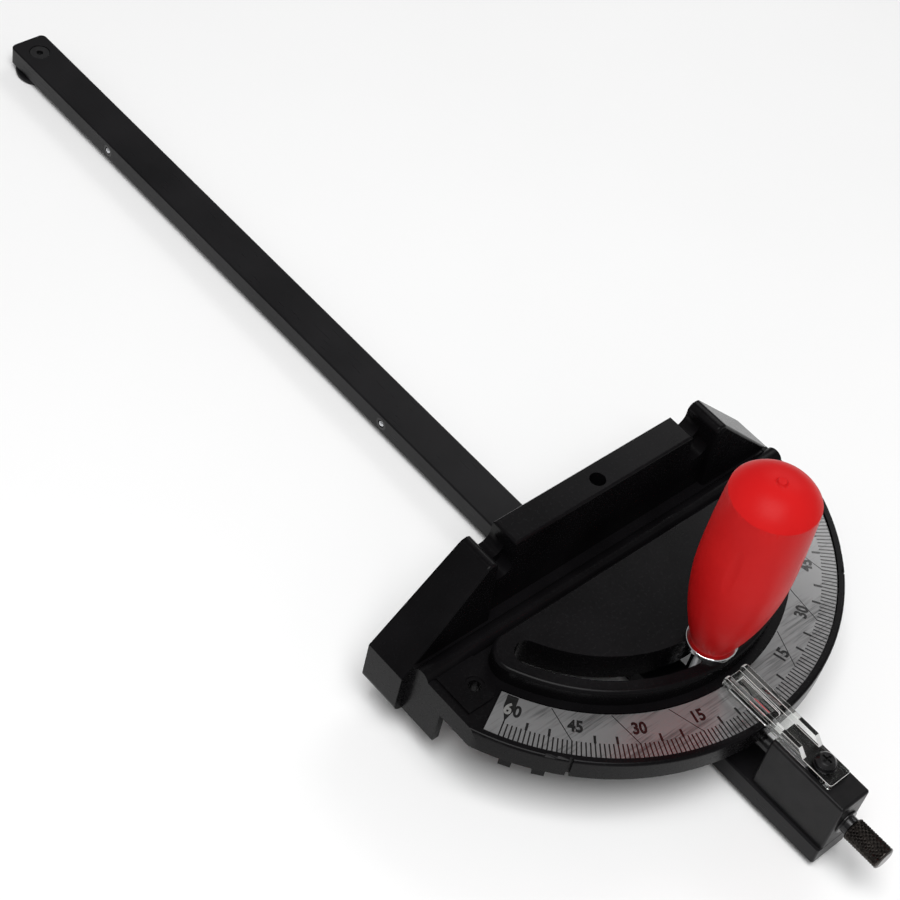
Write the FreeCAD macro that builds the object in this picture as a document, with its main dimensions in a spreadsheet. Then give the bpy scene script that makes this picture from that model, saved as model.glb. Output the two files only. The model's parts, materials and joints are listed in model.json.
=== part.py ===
import FreeCAD, Part
import Sketcher
import math
import os

# Miter gauge: a bar that slides in a table slot, a half-round protractor head that turns
# on it, a clamp handle, a spring index pin and a clear cursor over the angle scale.
# Origin on the head's pivot axis at the bar's top face, +Y along the bar to its far end,
# +Z up, lengths in millimetres and angles in degrees.

os.makedirs("parts", exist_ok=True)
doc = FreeCAD.newDocument("miter_gauge")
sheet = doc.addObject("Spreadsheet::Sheet", "Sizes")


# Driving dimensions

# a socket screw's recess, as shares of its diameter and of its head's height
SOCKET_WIDTH = 0.6
SOCKET_DEPTH = 0.7
# two lengths closer than this are the same
CLOSE = 0.01

DIMENSIONS = {
    # bar
    "bar_width": 19.05,
    "bar_height": 9.5,
    "bar_far": 388.0,
    "bar_corner": 3.0,
    "bar_near_corner": 1.2,
    "edge_break": 0.6,
    # washer that keeps the bar in a T-shaped slot
    "slot_washer_diameter": 22.5,
    "slot_washer_height": 2.6,
    "slot_washer_inset": 11.0,
    "slot_screw_diameter": 5.0,
    "slot_screw_head": 9.4,
    # ball plungers in the bar's side
    "plunger_first": 106.0,
    "plunger_spacing": 201.0,
    "plunger_diameter": 6.0,
    "plunger_length": 7.0,
    "plunger_floor": 0.8,
    "ball_diameter": 3.5,
    "ball_reach": 0.5,
    "ball_travel": 0.4,
    "ball_wire": 0.4,
    # pivot of the head
    "shim_diameter": 18.0,
    "shim_height": 0.8,
    "pivot_shoulder": 10.0,
    "pivot_head": 15.0,
    "pivot_head_height": 2.6,
    "pivot_thread": 8.0,
    "pivot_thread_length": 13.0,
    "pivot_boss": 26.0,
    "thread_chamfer": 1.0,
    # pointer block
    "block_width": 16.0,
    "block_gap": 5.5,
    "block_length": 37.5,
    "block_height": 27.3,
    "block_edge": 1.2,
    "block_screw_diameter": 5.0,
    "block_screw_head": 9.4,
    "block_screw_grip": 7.2,
    "block_screw_inset": 9.0,
    # index pin
    "index_height": 13.0,
    "pin_diameter": 6.0,
    "pin_tip_diameter": 4.4,
    "pin_tip_length": 2.0,
    "index_bore": 9.6,
    "index_guide": 8.0,
    "index_engagement": 2.0,
    "index_park_gap": 0.3,
    "notch_reach": 3.0,
    "bushing_flange": 11.0,
    "bushing_flange_height": 0.9,
    "collar_diameter": 7.8,
    "collar_length": 3.2,
    "bushing_depth": 6.0,
    "clip_diameter": 9.0,
    "clip_height": 1.2,
    "spring_wire": 0.8,
    "spring_turns": 7.0,
    "knob_diameter": 10.0,
    "knob_length": 17.0,
    "knob_gap": 0.15,
    "knob_flute": 0.9,
    "knob_flutes": 12.0,
    "stop_gap": 0.3,
    # head casting
    "side_angle": 64.76,
    "rim_margin": 3.2,
    "rim_wall": 2.9,
    "rim_round": 1.3,
    "rim_bottom": 18.0,
    "rim_top": 27.9,
    "deck_top": 27.2,
    "deck_bottom": 21.5,
    "witness_width": 1.6,
    "witness_depth": 1.6,
    "witness_angle": 45.0,
    "platform_top": 35.5,
    "platform_margin": 11.0,
    "platform_edge": 23.0,
    "platform_corner": 10.0,
    "platform_round": 1.6,
    "slot_radius": 72.5,
    "slot_width": 11.0,
    "slot_angle": 60.5,
    "ring_step": 0.5,
    "ring_wall": 9.0,
    "ring_bottom": 2.5,
    "ring_angle": 66.0,
    "rib_width": 2.6,
    "rib_angle": 12.5,
    "core_inner": 36.0,
    "core_gap": 11.0,
    "core_roof": 5.0,
    "core_start": 4.0,
    "core_middle": 27.0,
    "core_end": 50.0,
    "notch_step": 15.0,
    "notch_clearance": 0.1,
    "lug_reach": 7.5,
    "lug_width": 5.0,
    "lug_first": 49.5,
    "lug_second": 57.0,
    "lug_top": 9.4,
    "corner_inset": 14.2,
    "corner_hole_y": 32.0,
    "corner_hole": 5.0,
    "corner_boss": 15.0,
    "corner_pad": 16.4,
    "corner_pad_rise": 0.7,
    "corner_pad_gap": 1.2,
    "spot_face": 8.0,
    "spot_depth": 0.4,
    # fence
    "fence_face": 7.0,
    "fence_overhang": 4.3,
    "fence_top": 60.0,
    "fence_bottom": 0.8,
    "fence_wall": 9.0,
    "fence_round": 1.2,
    "end_round": 4.5,
    "centre_half": 48.8,
    "centre_lip": 6.2,
    "draft": 3.0,
    "wing_half": 60.0,
    "wing_flat": 5.0,
    "wing_lip": 9.3,
    "wing_end_height": 23.0,
    "wing_corner": 2.8,
    "wing_shoulder": 3.6,
    "wing_ridge": 1.2,
    "valley": 27.5,
    "bead_start": 13.4,
    "foot_edge": 21.5,
    "bead_sink": 1.2,
    "foot_length": 30.5,
    "foot_wall": 3.2,
    "slot_floor": 49.4,
    "slot_round": 5.0,
    "slot_step": 4.9,
    "slot_step_back": 1.0,
    "post_hole": 6.8,
    "post_depth": 26.0,
    "post_back": 7.5,
    # scale
    "scale_margin": 3.8,
    "scale_width": 19.5,
    "scale_angle": 63.2,
    "scale_thickness": 0.8,
    "scale_seat": 26.1,
    "scale_gap": 0.3,
    # cursor
    "cursor_width": 11.6,
    "cursor_overlap": 0.7,
    "cursor_on_block": 28.1,
    "cursor_floor": 1.6,
    "cursor_lift": 0.5,
    "cursor_rail": 2.1,
    "cursor_rail_height": 3.4,
    "cursor_rail_edge": 1.0,
    "cursor_rail_back": 13.5,
    "cursor_step_back": 0.5,
    "cursor_corner": 1.2,
    "window_half": 2.7,
    "window_start": 3.0,
    "window_length": 20.5,
    "window_depth": 0.7,
    "window_corner": 1.4,
    "cursor_slot_width": 4.4,
    "cursor_slot_travel": 3.0,
    "cursor_screw_back": 19.7,
    "cursor_screw_diameter": 4.0,
    "cursor_screw_head": 8.4,
    "cursor_screw_head_height": 2.8,
    "cursor_screw_grip": 7.5,
    "cursor_screw_edge": 1.26,
    "cursor_screw_chamfer": 0.4,
    "recess_width": 0.92,
    "recess_reach": 2.18,
    "recess_depth": 1.7,
    "cursor_washer": 9.4,
    "cursor_washer_height": 0.6,
    # clamp handle
    "stud_diameter": 10.0,
    "stud_head": 15.0,
    "stud_head_height": 3.0,
    "stud_top": 76.0,
    "clamp_washer_diameter": 21.0,
    "clamp_washer_height": 2.0,
    "clamp_lift": 1.5,
    "grip_foot": 8.6,
    "grip_waist": 18.5,
    "grip_waist_height": 50.5,
    "grip_shoulder": 17.4,
    "grip_shoulder_height": 86.0,
    "grip_top": 94.8,
    "grip_nub": 2.2,
    "grip_nub_height": 0.9,
    "grip_nub_edge": 0.6,
    "flute_count": 4.0,
    "flute_turn": 15.7,
    "flute_width": 6.6,
    "flute_depth": 0.5,
    "flute_cutter": 2.0,
    "flute_length": 36.0,
    "flute_height": 65.0,
    "insert_diameter": 14.0,
    "insert_length": 30.0,
    # fits
    "overlap": 1.0,
    "cut_spare": 5.0,
    "running_fit": 0.05,
    "seat_fit": 0.04,
    "free_fit": 0.25,
}


class Size:
    """A number with the sheet expression that gives it."""

    def __init__(self, value, text):
        self.value = float(value)
        self.text = text

    def __add__(self, other):
        other = as_size(other)
        return Size(self.value + other.value, "(" + self.text + " + " + other.text + ")")

    def __sub__(self, other):
        other = as_size(other)
        return Size(self.value - other.value, "(" + self.text + " - " + other.text + ")")

    def __mul__(self, other):
        other = as_size(other)
        return Size(self.value * other.value, "(" + self.text + " * " + other.text + ")")

    def __truediv__(self, other):
        other = as_size(other)
        return Size(self.value / other.value, "(" + self.text + " / " + other.text + ")")

    def __neg__(self):
        return Size(-self.value, "(0 - " + self.text + ")")

    __radd__ = __add__
    __rmul__ = __mul__


def as_size(item):
    if isinstance(item, Size):
        return item
    if item < 0:
        return Size(item, "(0 - " + repr(float(-item)) + ")")
    return Size(item, repr(float(item)))


def root(item):
    return Size(math.sqrt(item.value), "sqrt(" + item.text + ")")


def sine(angle):
    angle = as_size(angle)
    return Size(math.sin(math.radians(angle.value)), "sin(" + angle.text + ")")


def cosine(angle):
    angle = as_size(angle)
    return Size(math.cos(math.radians(angle.value)), "cos(" + angle.text + ")")


class Dimensions:
    """The sheet's cells by name."""


size = Dimensions()
for row, (word, number) in enumerate(DIMENSIONS.items(), start=1):
    cell = "B" + str(row)
    sheet.set("A" + str(row), word)
    sheet.set(cell, repr(number))
    sheet.setAlias(cell, word)
    setattr(size, word, Size(number, "Sizes." + word))
doc.recompute()

ZERO = as_size(0.0)


# Sizes that follow from others: the head grows outward from its arc slot

size.platform_radius = size.slot_radius + size.platform_margin
size.ring_inner = size.platform_radius + size.ring_step
size.ring_outer = size.ring_inner + size.ring_wall
size.scale_inner = size.platform_radius + size.scale_margin
size.scale_outer = size.scale_inner + size.scale_width
size.rim_radius = size.scale_outer + size.rim_margin
size.head_side = size.rim_radius * sine(size.side_angle)
size.fence_half = size.head_side + size.fence_overhang
size.core_outer = size.slot_radius - size.core_gap
size.corner_hole_x = size.head_side - size.corner_inset
size.block_front = size.rim_radius + size.block_gap
size.bar_near = size.block_front + size.block_length
size.cursor_tip = size.scale_inner - size.cursor_overlap
size.cursor_tail = size.block_front + size.cursor_on_block
size.cursor_bridge = size.block_front + size.cursor_step_back
size.cursor_rail_end = size.block_front + size.cursor_rail_back
size.cursor_screw_place = size.block_front + size.cursor_screw_back


# Drawing helpers

def bind(item, field, value):
    """Set a feature's field to a size and keep it tied to the sheet."""
    value = as_size(value)
    item.setExpression(field, value.text)


def new_body(name):
    body = doc.addObject("PartDesign::Body", name)
    body.Label = name
    return body


def origin_plane(body, role):
    for feature in body.Origin.OriginFeatures:
        if feature.Role == role:
            return feature
    raise ValueError("no plane " + role)


def new_sketch(body, name, role, offset=ZERO):
    """A sketch on an origin plane of the body, moved along the plane's normal."""
    sketch = body.newObject("Sketcher::SketchObject", name)
    sketch.AttachmentSupport = [(origin_plane(body, role), "")]
    sketch.MapMode = "FlatFace"
    bind(sketch, "AttachmentOffset.Base.z", offset)
    return sketch


def measure(sketch, kind, places, value, name):
    """Add one driving dimension to a sketch and tie it to the sheet."""
    value = as_size(value)
    index = sketch.addConstraint(Sketcher.Constraint(kind, *places, value.value))
    sketch.renameConstraint(index, name)
    sketch.setExpression("Constraints." + name, value.text)


def add_circle(sketch, x, y, radius):
    """A circle placed from the sketch's origin."""
    x, y, radius = as_size(x), as_size(y), as_size(radius)
    centre = FreeCAD.Vector(x.value, y.value, 0)
    normal = FreeCAD.Vector(0, 0, 1)
    geometry = sketch.addGeometry(Part.Circle(centre, normal, radius.value), False)
    tag = str(geometry)
    measure(sketch, "DistanceX", (-1, 1, geometry, 3), x, "across" + tag)
    measure(sketch, "DistanceY", (-1, 1, geometry, 3), y, "up" + tag)
    measure(sketch, "Radius", (geometry,), radius, "radius" + tag)


def arc_between(first, last, centre, radius, left):
    """The arc from one point to the next, turning left or right about the centre."""
    start = math.atan2(first.y - centre.y, first.x - centre.x)
    end = math.atan2(last.y - centre.y, last.x - centre.x)
    circle = Part.Circle(centre, FreeCAD.Vector(0, 0, 1), radius)
    if left:
        return Part.ArcOfCircle(circle, start, end)
    return Part.ArcOfCircle(circle, end, start)


def add_outline(sketch, corners):
    """A closed outline. A corner is (x, y), or (x, y, arc) where the side that leaves it is
    an arc, given as (radius, centre x, centre y, left turn)."""
    count = len(corners)
    starts = []
    ends = []
    for index in range(count):
        corner = corners[index]
        after = corners[(index + 1) % count]
        first = FreeCAD.Vector(as_size(corner[0]).value, as_size(corner[1]).value, 0)
        last = FreeCAD.Vector(as_size(after[0]).value, as_size(after[1]).value, 0)
        if len(corner) == 2:
            geometry = sketch.addGeometry(Part.LineSegment(first, last), False)
            starts.append((geometry, 1))
            ends.append((geometry, 2))
            continue
        radius, centre_x, centre_y, left = corner[2]
        centre = FreeCAD.Vector(as_size(centre_x).value, as_size(centre_y).value, 0)
        curve = arc_between(first, last, centre, as_size(radius).value, left)
        geometry = sketch.addGeometry(curve, False)
        starts.append((geometry, 1 if left else 2))
        ends.append((geometry, 2 if left else 1))
        measure(sketch, "Radius", (geometry,), radius, "radius" + str(index))
    for index in range(count):
        after = starts[(index + 1) % count]
        sketch.addConstraint(Sketcher.Constraint("Coincident", *ends[index], *after))
    for index in range(count):
        tag = str(index)
        measure(sketch, "DistanceX", (-1, 1, *starts[index]), corners[index][0], "across" + tag)
        measure(sketch, "DistanceY", (-1, 1, *starts[index]), corners[index][1], "up" + tag)


def box_corners(left, bottom, right, top):
    return [(left, bottom), (right, bottom), (right, top), (left, top)]


def sector_corners(inner, outer, angle):
    """A ring sector centred on -Y, reaching the angle to both sides."""
    side = sine(angle)
    down = -cosine(angle)
    return [
        (-(inner * side), inner * down, (inner, ZERO, ZERO, True)),
        (inner * side, inner * down),
        (outer * side, outer * down, (outer, ZERO, ZERO, False)),
        (-(outer * side), outer * down),
    ]


def wedge_corners(inner, outer, first, last):
    """A ring sector between two angles, measured from -Y towards +X."""
    corners = []
    for radius, angle, arc in (
        (inner, first, (inner, ZERO, ZERO, True)),
        (inner, last, None),
        (outer, last, (outer, ZERO, ZERO, False)),
        (outer, first, None),
    ):
        point = (radius * sine(angle), -(radius * cosine(angle)))
        corners.append(point + (arc,) if arc else point)
    return corners


def mirrored(corners):
    """The same outline on the other side of the YZ plane."""
    flipped = []
    for corner in corners:
        if len(corner) == 2:
            flipped.append((-corner[0], corner[1]))
        else:
            radius, centre_x, centre_y, left = corner[2]
            flipped.append((-corner[0], corner[1], (radius, -centre_x, centre_y, not left)))
    return flipped


def spoke_corners(inner, outer, width, angle, sign):
    """A straight bar that points away from the origin at an angle from -Y."""
    along = sine(angle)
    across = cosine(angle)
    half = width / 2
    corners = []
    for radius, offset in ((inner, -half), (outer, -half), (outer, half), (inner, half)):
        corner_x = radius * along + offset * across
        corner_y = -(radius * across) + offset * along
        corners.append((as_size(sign) * corner_x, corner_y))
    return corners


def extrude(body, sketch, length, kind="PartDesign::Pad", reverse=False):
    """Pad or pocket a sketch, and make sure that it changed the solid."""
    before = body.Shape.Volume if body.Tip else 0.0
    feature = body.newObject(kind, sketch.Name + "_solid")
    feature.Profile = sketch
    bind(feature, "Length", length)
    feature.Reversed = reverse
    sketch.Visibility = False
    doc.recompute()
    change = body.Shape.Volume - before
    if kind.endswith("Pad") == (change <= 0):
        raise ValueError(sketch.Name + " does not change " + body.Name)
    return feature


def pad(body, name, role, offset, corners, length, reverse=False):
    sketch = new_sketch(body, name, role, offset)
    add_outline(sketch, corners)
    return extrude(body, sketch, length, "PartDesign::Pad", reverse)


def pocket(body, name, role, offset, corners, length, reverse=False):
    sketch = new_sketch(body, name, role, offset)
    add_outline(sketch, corners)
    return extrude(body, sketch, length, "PartDesign::Pocket", reverse)


def round_pad(body, name, role, offset, circles, length, reverse=False):
    sketch = new_sketch(body, name, role, offset)
    for x, y, radius in circles:
        add_circle(sketch, x, y, radius)
    return extrude(body, sketch, length, "PartDesign::Pad", reverse)


def round_pocket(body, name, role, offset, circles, length, reverse=False):
    sketch = new_sketch(body, name, role, offset)
    for x, y, radius in circles:
        add_circle(sketch, x, y, radius)
    return extrude(body, sketch, length, "PartDesign::Pocket", reverse)


def turned(name, corners):
    """A body turned about its own vertical axis from a half section of (radius, height)."""
    body = new_body(name)
    sketch = new_sketch(body, name + "_section", "XZ_Plane")
    add_outline(sketch, corners)
    feature = body.newObject("PartDesign::Revolution", name + "_turned")
    feature.Profile = sketch
    feature.ReferenceAxis = (sketch, ["V_Axis"])
    feature.Angle = 360.0
    sketch.Visibility = False
    doc.recompute()
    return body


def place(item, x=ZERO, y=ZERO, z=ZERO):
    bind(item, "Placement.Base.x", x)
    bind(item, "Placement.Base.y", y)
    bind(item, "Placement.Base.z", z)


def turn_onto(item, axis, angle):
    item.Placement.Rotation = FreeCAD.Rotation(axis, angle)


def edges_where(shape, test):
    names = []
    for index, edge in enumerate(shape.Edges, start=1):
        if test(edge):
            names.append("Edge" + str(index))
    return names


def dress(body, kind, name, radius, test):
    """Fillet or chamfer the edges of the body's last feature that pass the test."""
    base = body.Tip
    names = edges_where(base.Shape, test)
    if not names:
        raise ValueError("no edges for " + name)
    feature = body.newObject(kind, name)
    feature.Base = (base, names)
    bind(feature, "Radius" if kind.endswith("Fillet") else "Size", radius)
    doc.recompute()
    return feature


def is_line_along(edge, axis):
    if not isinstance(edge.Curve, Part.Line):
        return False
    return abs(abs(edge.Curve.Direction.dot(axis)) - 1.0) < 1e-6


def near(first, second):
    return abs(first - as_size(second).value) < CLOSE


def level(edge, height):
    """Whether an edge lies flat at a height."""
    return near(edge.BoundBox.ZMin, height) and near(edge.BoundBox.ZMax, height)


X = FreeCAD.Vector(1, 0, 0)
Y = FreeCAD.Vector(0, 1, 0)
Z = FreeCAD.Vector(0, 0, 1)

half_bar = size.bar_width / 2
bar_bottom = -size.bar_height
stud_y = -size.slot_radius
slot_screw_y = size.bar_far - size.slot_washer_inset
plunger_places = (size.plunger_first, size.plunger_first + size.plunger_spacing)
plunger_z = bar_bottom / 2
block_screw_places = (
    -(size.block_front + size.block_screw_inset),
    -(size.bar_near - size.block_screw_inset),
)


# Bar

def make_bar():
    body = new_body("miter_bar")
    corner = size.bar_corner
    near_corner = size.bar_near_corner
    near_y = near_corner - size.bar_near
    far_y = size.bar_far - corner
    outline = [
        (-half_bar + near_corner, -size.bar_near),
        (half_bar - near_corner, -size.bar_near,
         (near_corner, half_bar - near_corner, near_y, True)),
        (half_bar, near_y),
        (half_bar, far_y, (corner, half_bar - corner, far_y, True)),
        (half_bar - corner, size.bar_far),
        (-half_bar + corner, size.bar_far, (corner, -half_bar + corner, far_y, True)),
        (-half_bar, far_y),
        (-half_bar, near_y, (near_corner, -half_bar + near_corner, near_y, True)),
    ]
    pad(body, "bar_outline", "XY_Plane", bar_bottom, outline, size.bar_height)
    dress(body, "PartDesign::Chamfer", "bar_edges", size.edge_break,
          lambda edge: is_line_along(edge, Y))
    pivot_radius = size.pivot_shoulder / 2 + size.running_fit
    stud_radius = size.stud_diameter / 2 + size.seat_fit
    slot_radius = size.slot_screw_diameter / 2 + size.seat_fit
    block_radius = size.block_screw_diameter / 2 + size.free_fit
    bores = [(0, 0, pivot_radius), (0, stud_y, stud_radius), (0, slot_screw_y, slot_radius)]
    for screw_y in block_screw_places:
        bores.append((0, screw_y, block_radius))
    round_pocket(body, "bar_bores", "XY_Plane", ZERO, bores, size.bar_height)
    round_pocket(body, "pivot_counterbore", "XY_Plane", bar_bottom,
                 [(0, 0, size.pivot_head / 2 + size.free_fit)],
                 size.pivot_head_height + size.free_fit + size.running_fit, True)
    round_pocket(body, "stud_counterbore", "XY_Plane", bar_bottom,
                 [(0, stud_y, size.stud_head / 2 + size.free_fit)],
                 size.stud_head_height + size.free_fit, True)
    counterbores = [(0, screw_y, size.block_screw_head / 2 + size.free_fit)
                    for screw_y in block_screw_places]
    round_pocket(body, "block_screw_counterbores", "XY_Plane", bar_bottom, counterbores,
                 size.block_screw_diameter / 2 + size.free_fit, True)
    round_pocket(body, "slot_screw_counterbore", "XY_Plane", ZERO,
                 [(0, slot_screw_y, size.slot_screw_head / 2 + size.free_fit)],
                 size.slot_screw_diameter / 2 + size.free_fit)
    plungers = [(place_y, plunger_z, size.plunger_diameter / 2 + size.seat_fit)
                for place_y in plunger_places]
    round_pocket(body, "plunger_bores", "YZ_Plane", -half_bar, plungers,
                 size.plunger_length + size.free_fit, True)
    return body


# Washer and screw at the far end

def screw_section(shank, head, head_height, length):
    """Half section of a flat-topped screw, head down from height zero."""
    return [
        (ZERO, ZERO),
        (head / 2, ZERO),
        (head / 2, -head_height),
        (shank / 2, -head_height),
        (shank / 2, -length + 0.5),
        (shank / 2 - 0.5, -length),
        (ZERO, -length),
    ]


def hexagon_corners(across):
    corner = across / 2 / cosine(30)
    corners = []
    for step in range(6):
        corners.append((corner * cosine(60 * step), corner * sine(60 * step)))
    return corners


def add_socket(body, name, across, depth):
    """A hexagon socket in a screw head that faces up at height zero."""
    return pocket(body, name, "XY_Plane", ZERO, hexagon_corners(across), depth)


def make_slot_washer():
    outer = size.slot_washer_diameter / 2
    bore = size.slot_screw_diameter / 2 + size.seat_fit
    chamfer = size.edge_break
    body = turned("t_slot_washer", [
        (bore, ZERO),
        (bore, -size.slot_washer_height),
        (outer - chamfer, -size.slot_washer_height),
        (outer, -size.slot_washer_height + chamfer),
        (outer, -chamfer),
        (outer - chamfer, ZERO),
    ])
    place(body, ZERO, slot_screw_y, bar_bottom)


def make_slot_screw():
    head_height = size.slot_screw_diameter / 2
    length = size.bar_height + size.slot_washer_height - size.free_fit * 2
    body = turned("t_washer_screw", screw_section(
        size.slot_screw_diameter, size.slot_screw_head, head_height, length))
    add_socket(body, "t_screw_socket", size.slot_screw_diameter * SOCKET_WIDTH,
               head_height * SOCKET_DEPTH)
    place(body, ZERO, slot_screw_y, -size.free_fit)


# Ball plungers

def make_plunger_sleeve(name, place_y):
    """A thin cup pressed into the bar's side, open to the outside."""
    outer = size.plunger_diameter / 2
    bore = size.ball_diameter / 2 + size.running_fit
    depth = size.plunger_length
    body = turned(name, [
        (ZERO, ZERO),
        (outer, ZERO),
        (outer, depth),
        (bore, depth),
        (bore, size.plunger_floor),
        (ZERO, size.plunger_floor),
    ])
    turn_onto(body, Y, -90)
    place(body, -half_bar + depth, place_y, plunger_z)


def make_ball(name, place_y):
    radius = size.ball_diameter / 2
    ball = doc.addObject("Part::Sphere", name)
    ball.Label = name
    bind(ball, "Radius", radius)
    place(ball, -(half_bar + size.ball_reach) + radius, place_y, plunger_z)


def make_coil(name, mean_radius, wire, pitch, turns):
    """A helical spring along its own Z axis from height zero."""
    helix = doc.addObject("Part::Helix", name + "_path")
    bind(helix, "Radius", mean_radius)
    bind(helix, "Pitch", pitch)
    bind(helix, "Height", pitch * turns)
    section = doc.addObject("Part::RegularPolygon", name + "_section")
    section.Polygon = 8
    bind(section, "Circumradius", wire / 2)
    section.Placement.Rotation = FreeCAD.Rotation(X, 90)
    bind(section, "Placement.Base.x", mean_radius)
    coil = doc.addObject("Part::Sweep", name)
    coil.Label = name
    coil.Sections = [section]
    coil.Spine = (helix, ["Edge1"])
    coil.Solid = True
    coil.Frenet = True
    doc.recompute()
    return coil


def make_plunger_spring(name, place_y):
    wire = size.ball_wire
    floor_x = -half_bar + size.plunger_length - size.plunger_floor
    ball_back = -(half_bar + size.ball_reach) + size.ball_diameter
    room = floor_x - ball_back - size.ball_travel - size.running_fit * 2
    turns = as_size(3.0)
    coil = make_coil(name, size.ball_diameter / 2 - wire, wire, (room - wire) / turns, turns)
    turn_onto(coil, Y, -90)
    place(coil, floor_x - size.running_fit - wire / 2, place_y, plunger_z)


# Pivot

def make_pivot():
    shim = turned("pivot_shim", [
        (size.pivot_shoulder / 2 + size.running_fit, ZERO),
        (size.shim_diameter / 2, ZERO),
        (size.shim_diameter / 2, size.shim_height),
        (size.pivot_shoulder / 2 + size.running_fit, size.shim_height),
    ])
    place(shim)
    head_top = bar_bottom + size.pivot_head_height + size.free_fit
    shoulder = size.pivot_shoulder / 2
    thread = size.pivot_thread / 2
    top = size.shim_height + size.pivot_thread_length
    head_bottom = bar_bottom + size.free_fit
    screw = turned("pivot_screw", [
        (ZERO, head_bottom),
        (size.pivot_head / 2, head_bottom),
        (size.pivot_head / 2, head_top),
        (shoulder, head_top),
        (shoulder, size.shim_height),
        (thread, size.shim_height),
        (thread, top - size.thread_chamfer),
        (thread - size.thread_chamfer, top),
        (ZERO, top),
    ])
    pocket(screw, "pivot_socket", "XY_Plane", head_bottom,
           hexagon_corners(size.pivot_thread * 0.75), size.pivot_head_height * 1.4, True)


# Pointer block

def make_block():
    body = new_body("pointer_block")
    half = size.block_width / 2
    outline = box_corners(-half, -size.bar_near, half, -size.block_front)
    pad(body, "block_outline", "XY_Plane", ZERO, outline, size.block_height)
    top = size.block_height

    def is_upper_edge(edge):
        return is_line_along(edge, Z) or level(edge, top)

    dress(body, "PartDesign::Fillet", "block_edges", size.block_edge, is_upper_edge)
    length = size.bar_near - size.block_front
    bore = size.pin_diameter / 2 + size.running_fit
    round_pocket(body, "pin_guide", "XZ_Plane", size.bar_near,
                 [(0, size.index_height, bore)], length)
    round_pocket(body, "spring_bore", "XZ_Plane", size.bar_near,
                 [(0, size.index_height, size.index_bore / 2)], length - size.index_guide)
    threads = [(0, screw_y, size.block_screw_diameter / 2 + size.seat_fit)
               for screw_y in block_screw_places]
    round_pocket(body, "block_threads", "XY_Plane", ZERO, threads,
                 size.block_screw_grip + size.free_fit, True)
    round_pocket(body, "cursor_thread", "XY_Plane", top,
                 [(0, -size.cursor_screw_place, size.cursor_screw_diameter / 2 + size.seat_fit)],
                 size.cursor_screw_grip + size.free_fit)


def make_block_screw(name, screw_y):
    """A socket screw up through the bar into the block."""
    head_height = size.block_screw_diameter / 2
    seat = bar_bottom + head_height + size.free_fit
    length = size.block_screw_grip - seat + head_height
    body = turned(name, screw_section(
        size.block_screw_diameter, size.block_screw_head, head_height, length))
    add_socket(body, name + "_socket", size.block_screw_diameter * SOCKET_WIDTH,
               head_height * SOCKET_DEPTH)
    turn_onto(body, X, 180)
    place(body, ZERO, screw_y, seat - head_height)
    return body


# Index pin: its bushing, rod, clip, spring and knob lie along Y

pin_park_tip = -(size.ring_outer + size.index_park_gap)
index_travel = size.index_engagement + size.index_park_gap
guide_back = -(size.block_front + size.index_guide)
clip_front = guide_back - size.stop_gap - index_travel
bushing_inner = -(size.bar_near - size.bushing_depth)
flange_face = -(size.bar_near + size.bushing_flange_height)
bushing_face = flange_face - size.collar_length
knob_face = flange_face - size.knob_gap - index_travel


def lay_along_y(body, y):
    """Turn a body's own +Z to +Y and put its origin on the index axis."""
    turn_onto(body, X, -90)
    place(body, ZERO, y, size.index_height)


def make_index():
    flange = size.bushing_flange / 2
    shank = size.index_bore / 2 - size.seat_fit
    bore = size.pin_diameter / 2 + size.running_fit
    collar = size.collar_diameter / 2
    chamfer = size.edge_break / 2
    flange_back = size.collar_length + size.bushing_flange_height
    bushing = turned("index_bushing", [
        (bore, ZERO),
        (collar - chamfer, ZERO),
        (collar, chamfer),
        (collar, size.collar_length),
        (flange - chamfer, size.collar_length),
        (flange, size.collar_length + chamfer),
        (flange, flange_back),
        (shank, flange_back),
        (shank, flange_back + size.bushing_depth),
        (bore, flange_back + size.bushing_depth),
    ])
    lay_along_y(bushing, bushing_face)

    rod = size.pin_diameter / 2
    rod_start = knob_face - size.knob_length / 2
    rod_length = pin_park_tip - rod_start
    groove = clip_front - size.clip_height - rod_start
    groove_depth = size.edge_break
    pin = turned("index_pin", [
        (ZERO, ZERO),
        (rod, ZERO),
        (rod, groove),
        (rod - groove_depth, groove),
        (rod - groove_depth, groove + size.clip_height),
        (rod, groove + size.clip_height),
        (rod, rod_length - size.pin_tip_length),
        (size.pin_tip_diameter / 2, rod_length),
        (ZERO, rod_length),
    ])
    lay_along_y(pin, rod_start)

    clip_bore = rod - groove_depth + size.seat_fit
    clip_gap = size.seat_fit / 2
    clip = turned("index_clip", [
        (clip_bore, clip_gap),
        (size.clip_diameter / 2, clip_gap),
        (size.clip_diameter / 2, size.clip_height - clip_gap),
        (clip_bore, size.clip_height - clip_gap),
    ])
    lay_along_y(clip, clip_front - size.clip_height)

    mean = (size.pin_diameter + size.index_bore) / 4
    room = clip_front - size.clip_height - bushing_inner - size.running_fit * 2
    pitch = (room - size.spring_wire) / size.spring_turns
    spring = make_coil("index_spring", mean, size.spring_wire, pitch, size.spring_turns)
    lay_along_y(spring, bushing_inner + size.running_fit + size.spring_wire / 2)


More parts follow.
